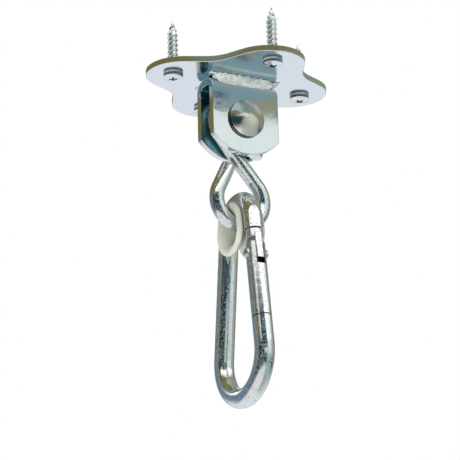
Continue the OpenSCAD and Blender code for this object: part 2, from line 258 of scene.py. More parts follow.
def ball(radius, segments, rings, centre=(0, 0, 0)):
    begin()
    bpy.ops.mesh.primitive_uv_sphere_add(segments=segments, ring_count=rings, radius=radius, location=centre)
    return bpy.context.object


def outline(name, points, fill="NOTHING"):
    """A closed outline in the ground plane, open or filled; points are (x, y)."""
    begin()
    bpy.ops.mesh.primitive_circle_add(vertices=len(points), radius=1 * MM, fill_type=fill)
    obj = named(name)
    for vert, (x, y) in zip(obj.data.vertices, points):
        vert.co = (x, y, 0)
    return obj


def arc_points(centre, radius, start, turn, steps, ends=True):
    """Points along an arc in the plane, with or without its two ends."""
    picked = range(steps + 1) if ends else range(1, steps)
    angles = [start + turn * i / steps for i in picked]
    return [Vector((centre[0] + radius * math.cos(a), centre[1] + radius * math.sin(a))) for a in angles]


def soften(obj, width, segments=2, angle=32):
    """Breaks the sharp edges and keeps the flat faces flat in the shading."""
    apply(obj, "BEVEL", width=width, segments=segments, limit_method="ANGLE",
          angle_limit=math.radians(angle), use_clamp_overlap=True)
    smooth(obj, 50)
    apply(obj, "WEIGHTED_NORMAL", keep_sharp=True, weight=80)


def smooth(obj, angle=40):
    only(obj)
    bpy.ops.object.shade_smooth_by_angle(angle=math.radians(angle))


def join(objs, name):
    only(objs[0])
    for obj in objs:
        obj.select_set(True)
    bpy.ops.object.join()
    return named(name)


def outwards(obj, merge=0.002 * MM):
    editing(obj)
    bpy.ops.mesh.select_all(action="SELECT")
    bpy.ops.mesh.remove_doubles(threshold=merge)
    bpy.ops.mesh.normals_make_consistent(inside=False)
    done()


def close_ends(obj):
    editing(obj)
    bpy.ops.mesh.select_all(action="SELECT")
    bpy.ops.mesh.fill_holes(sides=0)
    done()
    outwards(obj)


def sweep(heading, route):
    """Draws the selected outline along runs and bends; a bend is (centre, axis, angle, steps)."""
    for part in route:
        if isinstance(part, tuple):
            centre, axis, angle, steps = part
            turn_about(centre, axis, angle, steps)
            heading = Matrix.Rotation(angle, 3, axis) @ heading
        else:
            draw_out(heading * part)


def rod(name, radius, start, heading, route, sides=48, chamfer=0.0):
    """A drawn rod: a circle swept along its route, its sawn ends filled and broken."""
    begin()
    bpy.ops.mesh.primitive_circle_add(vertices=sides, radius=radius, location=start,
                                      rotation=Z.rotation_difference(heading).to_euler())
    obj = named(name)
    apply_place()
    editing_outline(obj)
    sweep(heading, route)
    done()
    close_ends(obj)
    if chamfer:
        editing(obj)
        pick_faces(obj, lambda face: len(face.verts) == sides)
        bpy.ops.mesh.bevel(offset=chamfer, segments=3, affect="EDGES")
        done()
    return obj


def leg_frame(side):
    """A straight leg's frame: Z up along it from the end of the narrow bend; side is -1 front, 1 rear."""
    return Matrix.Translation((0, side * LEG_Y, LEG_Z)) @ Matrix.Rotation(side * LEAN, 4, "X")


FRONT_LEG = leg_frame(-1)
AT_PIN = FRONT_LEG @ Matrix.Translation((0, 0, -PIN_S))


def coat(mat, *objs):
    for obj in objs:
        obj.data.materials.append(mat)


def paint_shade_faces(obj, mat, shade_mat, test):
    """Paints shade: the faces that the test picks, in a slot, recess, crease or gap, get a second, darker
    material.
    """
    coat(mat, obj)
    coat(shade_mat, obj)
    for face in obj.data.polygons:
        if test(face.center, face.normal):
            face.material_index = 1


# The pieces.

def plate_outline(count):
    """Points round the plate: lobe arcs and hollow arcs joined by short straights."""
    reach = (LOBE_R + HOLLOW_R) ** 2 + FLANK ** 2
    hollow_c = (LOBE_C + math.sqrt(2 * reach - LOBE_C ** 2)) / 2
    start = math.atan2(hollow_c, hollow_c - LOBE_C) - math.acos((LOBE_R + HOLLOW_R) / math.sqrt(reach))
    lobe = arc_points((LOBE_C, 0), LOBE_R, -start, 2 * start, count)
    hollow = arc_points((hollow_c, hollow_c), HOLLOW_R, math.pi + start, QUARTER - 2 * start, count // 2)
    points = []
    for quarter in range(4):
        turn = Matrix.Rotation(quarter * QUARTER, 2)
        points += [turn @ point for point in lobe + hollow]
    return points


def make_plate():
    plate = outline("lobed_plate", plate_outline(LOBE_STEPS), fill="NGON")
    editing(plate)
    bpy.ops.mesh.select_all(action="SELECT")
    draw_out((0, 0, -PLATE_T))
    done()
    outwards(plate)
    for quarter in range(4):
        a = quarter * QUARTER
        centre = (SCREW_CIRCLE_R * math.cos(a), SCREW_CIRCLE_R * math.sin(a), -PLATE_T / 2)
        cut(plate, round_bar(HOLE_R, 3 * PLATE_T, centre, sides=40))
    soften(plate, PLATE_BREAK, 3)
    return plate


def bracket_shade_faces(c, n):
    """Where shade is painted: the inside of the U, and the strip's two edges round the bends."""
    inside = abs(c.y) < GAP / 2 + ON_FACE and n.z < 0.5 and c.z < CROWN_Z - STRIP_T + ON_FACE
    return inside or abs(n.x) > 0.8 and c.z > CROWN_Z - BEND_R


def make_bracket():
    """The strip bent to a U: its end rounded, then drawn up, spun round both bends and drawn down."""
    begin()
    bpy.ops.mesh.primitive_grid_add(x_subdivisions=STRIP_CUTS, y_subdivisions=1, size=1,
                                    location=(0, -CHEEK_Y + STRIP_T / 2, 0))
    strip = named("u_strip")
    strip.scale = (STRIP_W, STRIP_T, 1)
    apply_place()

    def end_z(x):
        return ARCH_Z - math.sqrt(CHEEK_R ** 2 - x * x)

    straight_z = CROWN_Z - BEND_R
    bend_y = CHEEK_Y - BEND_R
    editing(strip)
    bpy.ops.mesh.select_all(action="SELECT")
    set_heights(strip, end_z)
    draw_out((0, 0, STRIP_T))
    set_heights(strip, lambda x: straight_z)
    turn_about((0, -bend_y, straight_z), X, -QUARTER, BEND_STEPS)
    draw_out((0, 2 * bend_y, 0))
    turn_about((0, bend_y, straight_z), X, -QUARTER, BEND_STEPS)
    draw_out((0, 0, -STRIP_T))
    set_heights(strip, end_z)
    done()
    outwards(strip)
    soften(strip, STRIP_BREAK, 3, angle=40)
    # painted shade: the inside of the U and the bends' edges are coloured dark teal
    paint_shade_faces(strip, ZINC_SHEET, TEAL_SHADE_ZINC, bracket_shade_faces)
    return strip


def domed(name, radius, rim, height, rings=14, sides=72):
    """A round head standing on z = 0: a short rim, then a dome drawn up ring by ring."""
    head = round_bar(radius, rim, (0, 0, rim / 2), sides=sides)
    named(name)
    curve_r = (radius ** 2 + height ** 2) / (2 * height)
    spread = math.asin(radius / curve_r)
    editing(head)
    pick_faces(head, lambda face: face.normal.z > 0.9)
    was_r, was_z = radius, 0.0
    for i in range(1, rings):
        a = spread * (1 - i / rings)
        new_r, new_z = curve_r * math.sin(a), height - curve_r * (1 - math.cos(a))
        draw_out((0, 0, new_z - was_z))
        shrink = new_r / was_r
        bpy.ops.transform.resize(value=(shrink, shrink, 1), center_override=(0, 0, rim + new_z))
        was_r, was_z = new_r, new_z
    done()
    return head


def make_rivet():
    front = domed("rivet_head", HEAD_R, HEAD_RIM, DOME_H)
    place(front, Matrix.Translation((0, -CHEEK_Y, AXIS_Z)) @ Matrix.Rotation(QUARTER, 4, "X"))
    back = domed("rivet_set", SET_R, SET_RIM, SET_H - SET_RIM)
    place(back, Matrix.Translation((0, CHEEK_Y, AXIS_Z)) @ Matrix.Rotation(-QUARTER, 4, "X"))
    shank = round_bar(SHANK_R, 2 * CHEEK_Y, (0, 0, AXIS_Z), axis=Y)
    rivet = join([front, back, shank], "domed_rivet")
    soften(rivet, RIVET_BREAK, 3, angle=38)
    # painted shade: the heads' rims and the shank are coloured dark
    paint_shade_faces(rivet, RIVET_STEEL, DARK_SHADE_ZINC, lambda c, n: abs(n.y) < 0.2)
    return rivet


def puddle_place(i):
    """Place of one puddle: the row wanders a little, and slims and slides down the bend at its ends."""
    along = 2 * i / (PUDDLES - 1) - 1
    wander = math.sin(5.1 * i) * 0.5 + math.sin(2.3 * i + 1) * 0.5
    ease = 1 - 0.5 * abs(along) ** 5
    slide = END_SLIDE * along ** 5
    centre = (BEAD_X + BEAD_HALF_L * along,
              BEAD_Y + WANDER * wander + slide * math.cos(BEAD_FACE),
              BEAD_Z - slide * math.sin(BEAD_FACE))
    lean = Matrix.Rotation(-BEAD_FACE, 4, "X")
    slant = Matrix.Rotation(math.radians(PUDDLE_SLANT + 4 * wander), 4, "Z")
    swell = Matrix.Diagonal((PUDDLE_W, (PUDDLE_L + 0.2 * wander) * ease,
                             (PUDDLE_H + 0.06 * math.sin(3.7 * i)) * ease, 1))
    return Matrix.Translation(centre) @ lean @ slant @ swell


def toe_shadow_faces(c, n):
    """Where a painted contact shadow goes: broken lengths of the bead's edge on the plate."""
    broken = math.sin(1.9 * c.x / MM) + math.sin(3.1 * c.x / MM + 1) > -0.5
    return c.z > TOE_Z and c.y < TOE_Y and broken


def weld_bead(name, side):
    """A flat fillet of overlapping puddles in the corner under the plate, melted together and crusted."""
    bead = [block(ROOT_SIZE, ROOT_SPOT)]
    for i in range(PUDDLES):
        puddle = ball(PUDDLE_R, segments=28, rings=14)
        puddle.matrix_world = puddle_place(i)
        bead.append(puddle)
    for x, y, size in SPATTER:
        bead.append(ball(size * MM, segments=16, rings=10, centre=(x * MM, y * MM, SPATTER_Z)))
    bead = join(bead, name)
    apply_place()
    apply(bead, "REMESH", mode="VOXEL", voxel_size=MELT, use_smooth_shade=True)
    apply(bead, "SMOOTH", factor=0.5, iterations=1)
    crust = bpy.data.textures.new(name + "_crust", "CLOUDS")
    crust.noise_scale, crust.noise_depth = CRUST_GRAIN, 3
    apply(bead, "DISPLACE", texture=crust, texture_coords="LOCAL", strength=CRUST_H, mid_level=0.5)
    editing(bead)
    bpy.ops.mesh.select_all(action="SELECT")
    bpy.ops.mesh.bisect(plane_co=(0, 0, BEAD_TOP), plane_no=Z, use_fill=True, clear_outer=True)
    done()
    # painted shadow: a dark line along the bead's edge on the plate
    paint_shade_faces(bead, WELD, DARK_SHADE_ZINC, toe_shadow_faces)
    if side > 0:
        place(bead, Matrix.Rotation(math.pi, 4, "Z"))
    smooth(bead, 60)
    bead.visible_glossy = False
    return bead


def make_link():
    """One rod bent to an S: free end, upper eye, crossing, lower eye, free end."""
    up, low = Vector((0, 0, AXIS_Z)), Vector((0, 0, LOW_Z))
    out = Vector((math.cos(UP_LEAN), 0, -math.sin(UP_LEAN)))
    heading = Vector((math.sin(UP_LEAN), 0, math.cos(UP_LEAN)))
    upper = 3 * QUARTER - CROSS_A + UP_LEAN
    lower = 3 * QUARTER - CROSS_A + LOW_LEAN
    cross = math.sqrt(LINK_C ** 2 - 4 * EYE_R ** 2)
    route = [TAIL_L, (up, -Y, upper, EYE_STEPS), cross, (low, Y, lower, EYE_STEPS), TAIL_L]
    link = rod("s_link", LINK_R, up + EYE_R * out - heading * TAIL_L, heading, route, chamfer=LINK_BREAK)
    smooth(link)
    return link


def make_tongue():
    """The flat tongue for the gate, milled from the neck's end."""
    top = PIN_S - SHOULDER_S - RING_H
    tongue = round_bar(ROD_R - PLAY, top + TONGUE_H, (0, 0, (top - TONGUE_H) / 2))
    cut(tongue, block((TONGUE_T, ACROSS, ALONG), (0, 0, 0)), "INTERSECT")
    soften(tongue, TONGUE_BREAK)
    # painted shade: the tongue's flat sides, deep in the gate's slot, are coloured dark brown
    paint_shade_faces(tongue, ZINC_ROD, BROWN_SHADE_ZINC, lambda c, n: abs(n.x) > 0.9)
    place(tongue, AT_PIN)
    return tongue


def make_neck():
    """The turned-down ring below the shoulder, and the core in the groove between them."""
    length, middle = NECK_S - SHOULDER_S, (NECK_S + SHOULDER_S) / 2
    core = round_bar(ROD_R - 2 * NECK_IN, length, (0, 0, NECK_ROOT - middle), sides=ROD_SIDES)
    ring = round_bar(ROD_R - NECK_IN, length - GROOVE_W, (0, 0, -middle - GROOVE_W / 2), sides=ROD_SIDES)
    soften(ring, RING_BREAK, 3)
    neck = join([ring, core], "neck")
    # painted shade: the core in the groove is coloured dark brown
    paint_shade_faces(neck, ZINC_ROD, BROWN_SHADE_ZINC,
           lambda c, n: c.xy.length < ROD_R - 1.5 * NECK_IN and abs(n.z) < 0.5)
    place(neck, FRONT_LEG)
    return neck


def nose_shade_faces(c, n):
    """Where shade is painted: the end face of the nose, which the gate's end sweeps past."""
    from_pin = AT_PIN.inverted()
    spot = from_pin @ c
    swept = spot.yz.length < GATE_REACH + NOSE_GAP + ON_FACE and spot.z < -GATE_REACH / 2
    return swept and abs((from_pin.to_3x3() @ n).z) > 0.8


def make_hook():
    """One rod from the gate's shoulder over the narrow bend, down the rear leg and round to the nose."""
    narrow, bow = Vector((0, 0, HANG_Z)), Vector((0, 0, BOW_Z))
    heading = FRONT_LEG.to_3x3() @ Z
    start = FRONT_LEG @ Vector((0, 0, -SHOULDER_S))
    nose = LEG_L - PIN_S - GATE_REACH + SPARE
    route = [SHOULDER_S, (narrow, -X, math.pi - 2 * LEAN, NARROW_STEPS), LEG_L,
             (bow, -X, math.pi + 2 * LEAN, BOW_STEPS), nose]
    hook = rod("snap_hook", ROD_R, start, heading, route, sides=ROD_SIDES)
    nose_face = round_bar(GATE_REACH + NOSE_GAP, REACH_L, (0, 0, 0), axis=X, sides=REACH_SIDES)
    cut(nose_face, block((ACROSS, ACROSS, ACROSS), (0, 0, -GATE_REACH)), "INTERSECT")
    place(nose_face, AT_PIN)
    cut(hook, nose_face)
    slot = block((TAB_T + 2 * PLAY, 2 * ROD_R, NOSE_SLOT_L),
                 (0, ROD_R / 2 - PLAY, -GATE_REACH - TAB_L / 2 + NOSE_SLOT_RISE))
    place(slot, AT_PIN)
    cut(hook, slot)
    outwards(hook, SLIVER)
    soften(hook, HOOK_BREAK, 3, angle=40)
    # painted shade: the nose's end face is coloured dark, for the gap to the gate
    paint_shade_faces(hook, ZINC_ROD, DARK_SHADE_ZINC, nose_shade_faces)
    return join([hook, make_neck(), make_tongue()], "snap_hook")


def gate_shade_faces(c, n):
    """Where shade is painted: the inside of the hinge slot, and the gate's end face."""
    in_slot = abs(c.x) < SLOT_W / 2 + ON_FACE and c.z > -SLOT_H - 2 * ON_FACE
    at_end = c.yz.length > GATE_REACH - ON_FACE and n.z < -0.8
    return in_slot and c.xy.length < ROD_R - AT_OUTSIDE or at_end


def make_gate():
    length = GATE_TOP + GATE_REACH + LAP
    gate = round_bar(ROD_R, length, (0, 0, GATE_TOP - length / 2), sides=ROD_SIDES)
    named("gate_arm")
    cut(gate, round_bar(GATE_REACH, REACH_L, (0, 0, 0), axis=X, sides=REACH_SIDES), "INTERSECT")
    slot_top = GATE_TOP + SPARE
    cut(gate, block((SLOT_W, ACROSS, SLOT_H + slot_top), (0, 0, (slot_top - SLOT_H) / 2)))
    bore_top = SLOT_H - LAP
    cut(gate, round_bar(BORE_R, BORE_H - bore_top, (0, 0, -(BORE_H + bore_top) / 2), sides=32))
    cut(gate, round_bar(PIN_R + PIN_PLAY, ACROSS, (0, 0, 0), axis=X, sides=32))
    outwards(gate, SLIVER)
    soften(gate, GATE_BREAK, 3, angle=40)
    # painted shade: the hinge slot and the gate's end face are coloured dark
    paint_shade_faces(gate, ZINC_ROD, DARK_SHADE_ZINC, gate_shade_faces)
    tab = block((TAB_T, TAB_W, TAB_L), (0, TAB_SHIFT, -GATE_REACH - TAB_L / 2 + TAB_ROOT))
    soften(tab, TONGUE_BREAK)
    coat(ZINC_ROD, tab)
    gate = join([gate, tab], "gate_arm")
    place(gate, AT_PIN)
    return gate


def make_spring():
    """A coil of round wire in the gate's bore, between the plunger's shoulder and the end of the bore."""
    begin()
    bpy.ops.mesh.primitive_circle_add(vertices=WIRE_SIDES, radius=WIRE_R, location=(COIL_R, 0, COIL_LOW),
                                      rotation=(QUARTER, 0, 0))
    spring = named("coil_spring")
    apply_place()
    apply(spring, "SCREW", axis="Z", angle=2 * math.pi, screw_offset=(COIL_TOP - COIL_LOW) / COIL_TURNS,
          iterations=COIL_TURNS, steps=COIL_STEPS, render_steps=COIL_STEPS)
    close_ends(spring)
    smooth(spring, 50)
    place(spring, AT_PIN)
    return spring


def thimble_section():
    """Half a pipe with rounded lips: its skin, one lip, its groove and the other lip."""
    half = QUARTER + math.asin(RIM_LOW / MID_R)
    open_turn = 2 * math.pi - 2 * half
    lip_x, lip_y = MID_R * math.cos(half), MID_R * math.sin(half)
    return (arc_points((0, 0), SKIN_R, half, open_turn, SECTION_STEPS)
            + arc_points((lip_x, -lip_y), WALL / 2, -half, math.pi, LIP_STEPS, ends=False)
            + arc_points((0, 0), GROOVE_R, 2 * math.pi - half, -open_turn, SECTION_STEPS)
            + arc_points((lip_x, lip_y), WALL / 2, half + math.pi, math.pi, LIP_STEPS, ends=False))


def make_thimble():
    """A half pipe swept round the hook's narrow bend and closed below the link's rod."""
    # the section stands across the front leg: its open side faces away from the hook's inside
    thimble = outline("nylon_thimble", [(point.y, -point.x) for point in thimble_section()])
    place(thimble, FRONT_LEG)
    editing_outline(thimble)
    straight = THIMBLE_C * math.cos(LEAN)
    sweep(FRONT_LEG.to_3x3() @ Z,
          [(Vector((0, 0, HANG_Z)), -X, math.pi - 2 * LEAN, NARROW_STEPS), straight,
           (Vector((0, 0, HANG_Z - THIMBLE_C)), -X, math.pi + 2 * LEAN, LOW_STEPS), straight])
    done()
    outwards(thimble)
    smooth(thimble, 50)
    return thimble


def make_screw_head():
    """A pan head under the plate with a tapered cross recess."""
    head = domed("screw_head", SCREW_HEAD_R, SCREW_RIM, SCREW_HEAD_H - SCREW_RIM, rings=10, sides=48)
    place(head, Matrix.Translation((0, 0, CROWN_Z)) @ Matrix.Rotation(math.pi, 4, "X"))
    for a in (0, QUARTER):
        arm = block((RECESS_W, RECESS_T, 2 * RECESS_H), (0, 0, HEAD_Z))
        editing(arm)
        pick_faces(arm, lambda face: face.normal.z > 0.9)
        bpy.ops.transform.resize(value=RECESS_TAPER, center_override=(0, 0, HEAD_Z + RECESS_H))
        done()
        place(arm, Matrix.Rotation(a, 4, "Z"))
        cut(head, arm)
    editing(head)
    bpy.ops.mesh.select_all(action="SELECT")
    bpy.ops.mesh.bisect(plane_co=(0, 0, CROWN_Z - HIGHLIGHT_CUT_H), plane_no=Z)
    done()
    soften(head, SCREW_BREAK, 3)

    def recess_shade_faces(c, n):
        return HEAD_Z + RECESS_LIP < c.z < CROWN_Z - 2 * ON_FACE and c.xy.length < RECESS_W / 2

    # painted shade: the recess is coloured dark teal
    paint_shade_faces(head, ZINC_SCREW, TEAL_SHADE_ZINC, recess_shade_faces)
    # painted highlight: a thin band of pale weld metal round the head's edge at the plate; painted shade: the
    # head's sides in darker shaded zinc
    coat(WELD, head)
    coat(SHADED_ZINC, head)
    highlight_band, side = 2, 3
    for face in head.data.polygons:
        if face.center.z > CROWN_Z - HIGHLIGHT_BAND_H and abs(face.normal.z) < 0.9:
            face.material_index = highlight_band
        elif face.center.xy.length > SCREW_HEAD_R - AT_OUTSIDE and abs(face.normal.z) < 0.3:
            face.material_index = side
    return head


def make_thread():
    """A rolled thread: one turn's flank screwed up along Z, slimmed to a point."""
    begin()
    bpy.ops.mesh.primitive_circle_add(vertices=len(THREAD), radius=SCREW_R)
    thread = named("thread")
    for vert, (r, t) in zip(thread.data.vertices, THREAD):
        vert.co = (r, 0, t * PITCH)
    editing(thread)
    pick_edges(thread, lambda edge: {v.index for v in edge.verts} == {0, len(THREAD) - 1})
    bpy.ops.mesh.delete(type="EDGE")
    done()
    turns = int((SCREW_L - PLAIN_END) / PITCH)
    apply(thread, "SCREW", axis="Z", angle=2 * math.pi, screw_offset=PITCH, iterations=turns,
          steps=THREAD_STEPS, render_steps=THREAD_STEPS, use_merge_vertices=True,
          merge_threshold=THREAD_MERGE)
    top = max(v.co.z for v in thread.data.vertices)
    for vert in thread.data.vertices:
        vert.co.z *= SCREW_L / top
        lift = (vert.co.z - (SCREW_L - SCREW_TIP)) / SCREW_TIP
        if lift > 0:
            slim = max(POINT_SLIM, 1 - lift)
            vert.co.x *= slim
            vert.co.y *= slim
    close_ends(thread)
    smooth(thread, 35)
    return thread


def make_screw():
    """A pan-head wood screw along Z."""
    head = make_screw_head()
    neck_l = PLATE_T + NECK_PROUD
    neck = round_bar(SCREW_NECK_R, neck_l, (0, 0, CROWN_Z + neck_l / 2), sides=40)
    soften(neck, SCREW_NECK_BREAK)
    thread = make_thread()
    coat(ZINC_SCREW, neck, thread)
    return join([head, neck, thread], "wood_screw")


def make_screws():
    first = make_screw()
    screws = []
    for quarter in range(4):
        only(first)
        bpy.ops.object.duplicate()
        screw = bpy.context.object
        driven = math.radians(DRIVEN + DRIVEN_STEP * quarter)
        place(screw, Matrix.Rotation(quarter * QUARTER, 4, "Z") @ Matrix.Translation((SCREW_CIRCLE_R, 0, 0))
              @ Matrix.Rotation(driven, 4, "Z"))
        screws.append(screw)
    bpy.data.objects.remove(first, do_unlink=True)
    return join(screws, "wood_screws")


# Shader building blocks.

def new_group(name, inputs, outputs):
    group = bpy.data.node_groups.new(name, "ShaderNodeTree")
    for label, default in inputs:
        socket = group.interface.new_socket(label, in_out="INPUT", socket_type="NodeSocketFloat")
        socket.default_value = default
    for label in outputs:
        group.interface.new_socket(label, in_out="OUTPUT", socket_type="NodeSocketFloat")
    return group, group.nodes.new("NodeGroupInput"), group.nodes.new("NodeGroupOutput")


def put(tree, socket, value):
    """Sets a socket to a number or a colour, or links it to another socket."""
    if isinstance(value, (int, float)):
        socket.default_value = value
    elif isinstance(value, tuple):
        socket.default_value = (*value, 1)
    else:
        tree.links.new(value, socket)


def object_coords(tree):
    return tree.nodes.new("ShaderNodeTexCoord").outputs["Object"]


def axes_of(tree, vector):
    node = tree.nodes.new("ShaderNodeSeparateXYZ")
    tree.links.new(vector, node.inputs[0])
    return node.outputs


def noise(tree, vector, scale, detail=3.0, rough=0.55, distortion=0.0):
    node = tree.nodes.new("ShaderNodeTexNoise")
    node.inputs["Detail"].default_value = detail
    node.inputs["Roughness"].default_value = rough
    node.inputs["Distortion"].default_value = distortion
    put(tree, node.inputs["Scale"], scale)
    tree.links.new(vector, node.inputs["Vector"])
    return node.outputs["Fac"]


def span(tree, value, low, high, to_low=0.0, to_high=1.0):
    node = tree.nodes.new("ShaderNodeMapRange")
    node.inputs["From Min"].default_value = low
    node.inputs["From Max"].default_value = high
    node.inputs["To Min"].default_value = to_low
    node.inputs["To Max"].default_value = to_high
    tree.links.new(value, node.inputs["Value"])
    return node.outputs["Result"]


def calculate(tree, operation, a, b):
    node = tree.nodes.new("ShaderNodeMath")
    node.operation = operation
    put(tree, node.inputs[0], a)
    put(tree, node.inputs[1], b)
    return node.outputs["Value"]


def add(tree, a, b):
    return calculate(tree, "ADD", a, b)


def times(tree, a, b):
    return calculate(tree, "MULTIPLY", a, b)


def blend(tree, factor, a, b):
    node = tree.nodes.new("ShaderNodeMix")
    node.data_type = "RGBA"
    tree.links.new(factor, node.inputs[0])
    put(tree, node.inputs[6], a)
    put(tree, node.inputs[7], b)
    return node.outputs[2]


def near(tree, spot, edge, core):
    """A mask of 1 inside the core radius about a spot of the part, fading to 0 at the edge radius."""
    reach = tree.nodes.new("ShaderNodeVectorMath")
    reach.operation = "DISTANCE"
    tree.links.new(object_coords(tree), reach.inputs[0])
    reach.inputs[1].default_value = spot
    return span(tree, reach.outputs["Value"], edge, core)


def plating_grain():
    """Grain of a zinc coat: a height of grain, waves and pimples, a patchy mask and small dark pits."""
    group, given, result = new_group(
        "plating grain",
        (("Grain", 1.0), ("Grain Scale", 1800.0), ("Patch Scale", 160.0), ("Pits", 0.5), ("Pimples", 0.0),
         ("Waves", 0.0)),
        ("Height", "Patch", "Pit"))
    coords = object_coords(group)
    fine = noise(group, coords, given.outputs["Grain Scale"], 4, 0.6)
    patch = noise(group, coords, given.outputs["Patch Scale"], 4, 0.6, 0.4)
    spots = noise(group, coords, 900.0, 2, 0.5)
    swells = noise(group, coords, 430.0, 2, 0.5, 0.6)
    beads = span(group, noise(group, coords, 2200.0, 1, 0.5), 0.59, 0.69)
    pit = times(group, span(group, spots, 0.68, 0.76), given.outputs["Pits"])
    height = add(group, times(group, fine, given.outputs["Grain"]), times(group, pit, -0.6))
    height = add(group, height, times(group, beads, given.outputs["Pimples"]))
    height = add(group, height, times(group, swells, given.outputs["Waves"]))
    group.links.new(height, result.inputs["Height"])
    group.links.new(patch, result.inputs["Patch"])
    group.links.new(pit, result.inputs["Pit"])
    return group


GRAIN = plating_grain()


def grain_node(tree, values):
    node = tree.nodes.new("ShaderNodeGroup")
    node.node_tree = GRAIN
    for label, value in values.items():
        node.inputs[label].default_value = value
    return node.outputs


def material(name):
    mat = bpy.data.materials.new(name)
    mat.use_nodes = True
    return mat, mat.node_tree, mat.node_tree.nodes["Principled BSDF"]


def finish(tree, shader, metallic, colour, gloss):
    shader.inputs["Metallic"].default_value = metallic
    tree.links.new(colour, shader.inputs["Base Color"])
    tree.links.new(gloss, shader.inputs["Roughness"])


def bump(tree, shader, height, strength, distance):
    node = tree.nodes.new("ShaderNodeBump")
    node.inputs["Strength"].default_value = strength
    node.inputs["Distance"].default_value = distance
    tree.links.new(height, node.inputs["Height"])
    tree.links.new(node.outputs["Normal"], shader.inputs["Normal"])


# The materials.

PIT_TONE = (0.22, 0.23, 0.24)
# nylon tones: pale, deep, and a painted shade for round the link's rod
NYLON_PALE, NYLON_DEEP, NYLON_SHADED = (0.75, 0.745, 0.67), (0.66, 0.65, 0.56), (0.47, 0.50, 0.43)
WELD_HOLLOW, WELD_PALE = (0.46, 0.49, 0.47), (0.84, 0.86, 0.83)
# rivet tones: a warm pale painted reflection low on the dome and a green-grey painted reflection at one
# shoulder
WARM_REFLECTION_TONE, GREEN_REFLECTION_TONE = (1.0, 0.89, 0.79), (0.56, 0.66, 0.62)
WARM_REFLECTION_SPOT, GREEN_REFLECTION_SPOT = (-0.1 * MM, DOME_Y, AXIS_Z - 4.3 * MM), (-4.6 * MM, DOME_Y, AXIS_Z + 4.8 * MM)
REFLECTION_PATCH_DULL, DENT_SCALE = 0.26, 420.0
# edge and core radius of a patch
WARM_REFLECTION_R, GREEN_REFLECTION_R, LINK_SHADE_R = (4.9 * MM, 3.7 * MM), (5.2 * MM, 3.4 * MM), (12.5 * MM, 7 * MM)


def zinc(name, cool, warm, rough, patch_scale, pits, pimples, waves):
    """Bright zinc plate: a cool coat with faint warm passivated patches, grain in gloss and relief."""
    mat, tree, shader = material(name)
    grain = grain_node(tree, {"Grain": 0.15, "Patch Scale": patch_scale, "Pits": pits, "Pimples": pimples,
                              "Waves": waves})
    colour = blend(tree, span(tree, grain["Patch"], 0.42, 0.66), cool, warm)
    colour = blend(tree, grain["Pit"], colour, PIT_TONE)
    finish(tree, shader, 1.0, colour, span(tree, grain["Patch"], 0.3, 0.7, *rough))
    bump(tree, shader, grain["Height"], 1.0, 0.04 * MM)
    return mat


def nylon(name):
    """Natural nylon: milky, a little see-through, with flow marks, and painted shade that greys it round the
    link's rod.
    """
    mat, tree, shader = material(name)
    coords = object_coords(tree)
    flow = noise(tree, coords, 130.0, 3, 0.5, 1.2)
    rub = noise(tree, coords, 700.0, 4, 0.6)
    colour = blend(tree, span(tree, flow, 0.35, 0.7), NYLON_PALE, NYLON_DEEP)
    # painted shade: greyer round where the link's rod sits
    colour = blend(tree, near(tree, (0, 0, HANG_Z), *LINK_SHADE_R), colour, NYLON_SHADED)
    finish(tree, shader, 0.0, colour, span(tree, rub, 0.3, 0.7, 0.36, 0.55))
    shader.inputs["Subsurface Weight"].default_value = 0.25
    shader.inputs["Subsurface Radius"].default_value = (1.0, 0.9, 0.7)
    shader.inputs["Subsurface Scale"].default_value = 1.0 * MM
    bump(tree, shader, add(tree, flow, rub), 0.15, 0.05 * MM)
    return mat


def weld(name):
    """Plated weld metal: frosted, pale, with dull hollows between the ripples."""
    mat, tree, shader = material(name)
    coords = object_coords(tree)
    frost = noise(tree, coords, 2600.0, 4, 0.65)
    stain_and_reflection = noise(tree, coords, 420.0, 4, 0.6, 0.5)
    colour = blend(tree, span(tree, stain_and_reflection, 0.36, 0.62), WELD_HOLLOW, WELD_PALE)
    finish(tree, shader, 0.1, colour, span(tree, frost, 0.3, 0.7, 0.28, 0.5))
    bump(tree, shader, frost, 0.25, 0.05 * MM)
    return mat


def steel(name, colour, rough, relief):
    """Bare or oiled steel, or zinc painted darker as shade: uneven gloss and fine grain."""
    mat, tree, shader = material(name)
    grain = grain_node(tree, {"Patch Scale": 240.0, "Pits": 0.35})
    deep = tuple(0.8 * c for c in colour)
    tone = blend(tree, span(tree, grain["Patch"], 0.35, 0.7), colour, deep)
    finish(tree, shader, 1.0, tone, span(tree, grain["Patch"], 0.3, 0.7, rough, rough + 0.12))
    bump(tree, shader, grain["Height"], relief, 0.02 * MM)
    return mat


def peened_steel(name, colour, rough, relief, dents):
    """Rivet steel: dented and bright, with a painted warm reflection low on the dome, duller in gloss there,
    and a painted green-grey reflection at one shoulder.
    """
    mat = steel(name, colour, rough, relief)
    tree = mat.node_tree
    shader = tree.nodes["Principled BSDF"]
    # painted reflections: a warm pale patch with duller gloss, and a green-grey patch
    warm_reflection = near(tree, WARM_REFLECTION_SPOT, *WARM_REFLECTION_R)
    stain_and_reflection = near(tree, GREEN_REFLECTION_SPOT, *GREEN_REFLECTION_R)
    tone = shader.inputs["Base Color"].links[0].from_socket
    tone = blend(tree, stain_and_reflection, blend(tree, warm_reflection, tone, WARM_REFLECTION_TONE), GREEN_REFLECTION_TONE)
    gloss = shader.inputs["Roughness"].links[0].from_socket
    finish(tree, shader, 1.0, tone, add(tree, gloss, times(tree, warm_reflection, REFLECTION_PATCH_DULL)))
    hammered = noise(tree, object_coords(tree), DENT_SCALE, 2, 0.5, 0.3)
    relief_node = shader.inputs["Normal"].links[0].from_node
    height = relief_node.inputs["Height"].links[0].from_socket
    tree.links.new(add(tree, height, times(tree, hammered, dents)), relief_node.inputs["Height"])
    return mat


